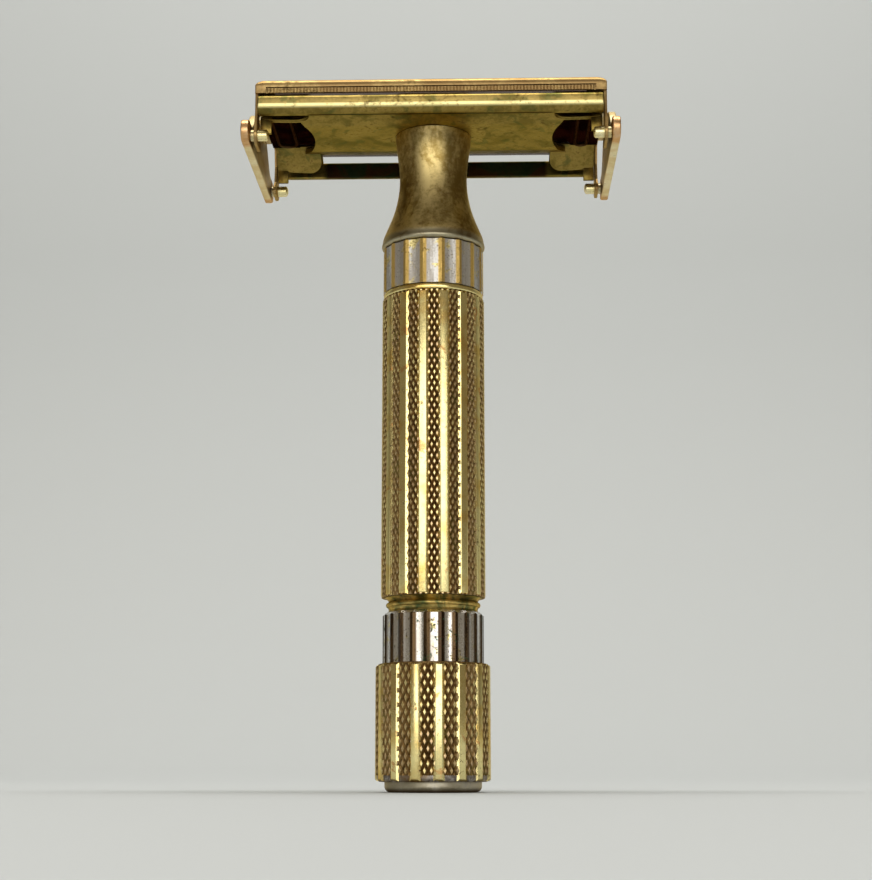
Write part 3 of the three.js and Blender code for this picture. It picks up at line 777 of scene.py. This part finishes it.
def door_end(crown, edge, split, inset):
    """The solid block that closes a door's end. An inset lowers its dome but hardly its lip."""
    outer = door_outline(crown, edge, split, inset)[2:]
    lip = door_outline(crown, edge, split)[2][0] - 0.15 * inset
    stretch = (lip - split) / (outer[0][0] - split)
    outer = [(split + (y - split) * stretch, z) for y, z in outer]
    return [(lip, edge)] + outer + [(split, edge + 1.6), (6.6, edge + 0.9), (6.9, edge)]


def door_comb(bm, lip, edge, side):
    """The row of fine square teeth in the door's edge."""
    teeth, pitch = 98, 0.4
    rise, fall, gap = 0.07, 0.12, 0.05
    root, tip = lip - 0.11, lip - 0.04
    comb = [(-teeth * pitch / 2, lip - 0.45)]
    for tooth in range(teeth):
        x = (tooth - teeth / 2) * pitch
        comb += [(x, root), (x + rise, tip), (x + pitch - fall, tip), (x + pitch - gap, root)]
    comb.append((teeth * pitch / 2, lip - 0.45))
    prism(bm, [(x, side * y) for x, y in comb], "Z", edge + 0.02, edge + 0.6)


def door_ear(bm, side, end):
    """The arm at a door's end that reaches down to its pivot pin."""
    ear = [(10.5, 83.0), (10.6, 82.5), (10.6, 80.3), (11.25, 78.3), (11.6, 77.3)]
    ear += arc((pin_y, pin_z), 1.22, 0, -90, 6)[1:]
    ear += [(7.9, 76.15), (7.5, 76.5), (7.6, 77.1), (8.9, 78.1), (9.25, 80.3), (8.5, 82.6),
            (8.3, 83.0)]
    start, stop = sorted((end * EAR[0], end * EAR[1]))
    soften(bm, sharp_edges(prism(bm, on_side(ear, side), "X", start, stop)), 0.07, 2)


def door(name, node_name, body, side):
    crown = high(node_name).z
    half = EAR[1]
    edge, split, corner, drop = 82.5, 0.08, 1.2, 0.78
    shell_end = half - 1.3
    outer = door_outline(crown, edge, split)
    inner = [(split, crown - 0.95), (5.0, crown - 1.3), (8.6, edge + 1.35), (9.75, edge + 0.7),
             (9.85, edge)]
    bm = bmesh.new()
    prism(bm, on_side(outer + inner, side), "X", -shell_end, shell_end)
    for end in (-1, 1):
        sections = [(end * shell_end, on_side(door_end(crown, edge, split, 0.0), side))]
        for angle in range(0, 91, 15):
            along, inset = math.sin(math.radians(angle)), 1 - math.cos(math.radians(angle))
            sections.append((end * (half - corner + corner * along),
                             on_side(door_end(crown, edge, split, drop * inset), side)))
        loft(bm, sections, "X")
        door_ear(bm, side, end)
    door_comb(bm, max(point[0] for point in outer), edge, side)
    bmesh.ops.recalc_face_normals(bm, faces=bm.faces)
    piece(name, bm, body, door_finish, [node_name])


def end_plate(name, node_name, end):
    box_low, box_high = low(node_name), high(node_name)
    box_outer = max(-box_low.x, box_high.x)
    lobe = 1.4
    lobe_y = box_high.y - lobe
    bottom, top = box_low.z, box_high.z
    right = arc((lobe_y, bottom + lobe), lobe, -90, 90, 12)
    right += smooth_outline([(9.2, bottom + 2 * lobe), (8.2, bottom + 3.1), (7.1, bottom + 3.9),
                             (5.6, top - 0.9), (4.4, top - 0.05)], 3)
    bm = bmesh.new()
    outline = right + [(-y, z) for y, z in reversed(right)]
    start, stop = sorted((end * SIDE_PLATE[0], end * box_outer))
    soften(bm, sharp_edges(prism(bm, outline, "X", start, stop), 50), 0.16, 3)
    start, stop = sorted((end * 20.9, end * (SIDE_PLATE[0] + 0.05)))
    fold = [(-4.2, 81.6), (4.2, 81.6), (4.2, 82.15), (-4.2, 82.15)]
    soften(bm, sharp_edges(prism(bm, fold, "X", start, stop)), 0.05, 1)
    piece(name, bm, "lifter", plate_finish, [node_name])


def pivot_pin(node_name, side, end):
    """A pin with a domed inner end."""
    start, stop = sorted((abs(low(node_name).x), abs(high(node_name).x)))
    dome = [(0, start)]
    for angle in range(15, 91, 15):
        turn = math.radians(angle)
        dome.append((pin_radius * math.sin(turn), start + 0.3 - 0.3 * math.cos(turn)))
    bm = bmesh.new()
    turned(bm, dome + [(pin_radius, stop), (0, stop)], steps=24, closed=False)
    turn = Matrix.Rotation(math.radians(90 * end), 3, "Y")
    bmesh.ops.rotate(bm, verts=bm.verts, cent=(0, 0, 0), matrix=turn)
    bmesh.ops.translate(bm, verts=bm.verts, vec=(0, side * pin_y, pin_z))
    piece(node_name.replace("pivot_", ""), bm, "lifter", pin_finish, [node_name])


def spring(name, node_name, end):
    """A hairpin of round wire."""
    wire = 0.2
    near, far = sorted((abs(low(node_name).x) + wire, abs(high(node_name).x) - wire))
    reach = -low(node_name).y
    height = (low(node_name).z + high(node_name).z) / 2
    middle, bend = (near + far) / 2, (far - near) / 2
    route = [(near, -reach)] + arc((middle, reach - 2 * bend), bend, 180, 0, 12) + [(far, -reach)]
    curve = bpy.data.curves.new(name, "CURVE")
    curve.dimensions = "3D"
    curve.bevel_depth = wire * MM
    curve.bevel_resolution = 3
    curve.use_fill_caps = True
    line = curve.splines.new("POLY")
    line.points.add(len(route) - 1)
    for point, (x, y) in zip(line.points, route):
        point.co = (end * x * MM, y * MM, height * MM, 1)
    curve.materials.append(shaded_spring_finish)
    made = bpy.data.objects.new(name, curve)
    bpy.context.scene.collection.objects.link(made)
    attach(made, "lifter")
    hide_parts(node_name)


def refinish(node_name, finish):
    """Gives a CAD node its finish and leaves its shape alone."""
    node_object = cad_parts[node_name]
    node_object.data.materials.clear()
    node_object.data.materials.append(finish)


def head():
    guard()
    door("front_door_shell", "door_front", "front_door", -1)
    door("rear_door_shell", "door_rear", "rear_door", 1)
    for end, where in ((-1, "left"), (1, "right")):
        end_plate("side_plate_" + where, "end_plate_" + where, end)
        spring("cross_spring_" + where, "door_spring_" + where, end)
        for side, face in ((-1, "front"), (1, "rear")):
            pivot_pin(f"pivot_pin_{face}_{where}", side, end)
    refinish("blade_bed", recess_shade_finish)
    refinish("razor_blade", steel_finish)


handle()
knob()
head()
for hidden in ("core_tube", "neck_bush", "knob_stem", "spindle_rod"):
    refinish(hidden, brass_finish)
for hidden in ("thrust_washer", "retaining_clip"):
    refinish(hidden, steel_finish)

# ---- Stage, lights and camera ----


def stage():
    """A pale floor that sweeps up into a backdrop. Its sizes are in metres."""
    matt = bpy.data.materials.new("pale_backdrop")
    matt.use_nodes = True
    shader = matt.node_tree.nodes["Principled BSDF"]
    shader.inputs["Base Color"].default_value = (0.585, 0.615, 0.62, 1)
    shader.inputs["Roughness"].default_value = 0.9
    reach, bend, back, height = 1.5, 0.2, 0.45, 1.2
    sweep = [(-reach, 0.0)] + arc((back - bend, bend), bend, -90, 0, 9) + [(back, height)]
    bm = bmesh.new()
    verts = [bm.verts.new((-reach, y, z)) for y, z in sweep]
    edges = [bm.edges.new(pair) for pair in zip(verts, verts[1:])]
    grown = bmesh.ops.extrude_edge_only(bm, edges=edges)["geom"]
    moved = [item for item in grown if isinstance(item, bmesh.types.BMVert)]
    bmesh.ops.translate(bm, verts=moved, vec=(2 * reach, 0, 0))
    bmesh.ops.recalc_face_normals(bm, faces=bm.faces)
    mesh = bpy.data.meshes.new("backdrop")
    bm.to_mesh(mesh)
    bm.free()
    mesh.shade_smooth()
    mesh.materials.append(matt)
    floor = bpy.data.objects.new("backdrop", mesh)
    bpy.context.scene.collection.objects.link(floor)


def softbox(name, place, aim, width, height, power, colour=(1.0, 0.98, 0.95)):
    light = bpy.data.lights.new(name, "AREA")
    light.shape = "RECTANGLE"
    light.size = width
    light.size_y = height
    light.energy = power
    light.color = colour
    lamp = bpy.data.objects.new(name, light)
    lamp.location = place
    lamp.rotation_euler = (Vector(aim) - Vector(place)).to_track_quat("-Z", "Y").to_euler()
    bpy.context.scene.collection.objects.link(lamp)


def lights():
    """One broad low light behind the camera for the bright middles, and a dim warm room."""
    world = bpy.data.worlds.new("studio")
    world.use_nodes = True
    room = world.node_tree.nodes["Background"]
    room.inputs["Color"].default_value = (0.88, 0.74, 0.53, 1)
    room.inputs["Strength"].default_value = 0.22
    bpy.context.scene.world = world
    softbox("key", (-0.01, -0.46, 0.095), (0, 0, 0.05), 0.62, 0.27, 1.17)
    softbox("high_fill", (-0.12, -0.40, 0.34), (0, 0, 0.05), 0.30, 0.16, 0.055)
    softbox("overhead", (0.0, 0.05, 0.6), (0, 0.05, 0), 0.4, 0.4, 1.15)
    softbox("backdrop_wash", (0.0, 0.0, 0.9), (0, 0.45, 0.1), 0.9, 0.3, 4.3)


def camera():
    lens = bpy.data.cameras.new("camera")
    lens.lens = 71.6
    lens.sensor_width = 36.0
    lens.sensor_fit = "AUTO"
    lens.clip_start = 0.005
    eye = bpy.data.objects.new("camera", lens)
    eye.location = (0.0065, -0.2091, 0.0026)
    eye.rotation_euler = (math.radians(90 + 10.67), 0, math.radians(1.69))
    bpy.context.scene.collection.objects.link(eye)
    bpy.context.scene.camera = eye


stage()
lights()
camera()
bpy.context.scene.view_settings.view_transform = "Standard"
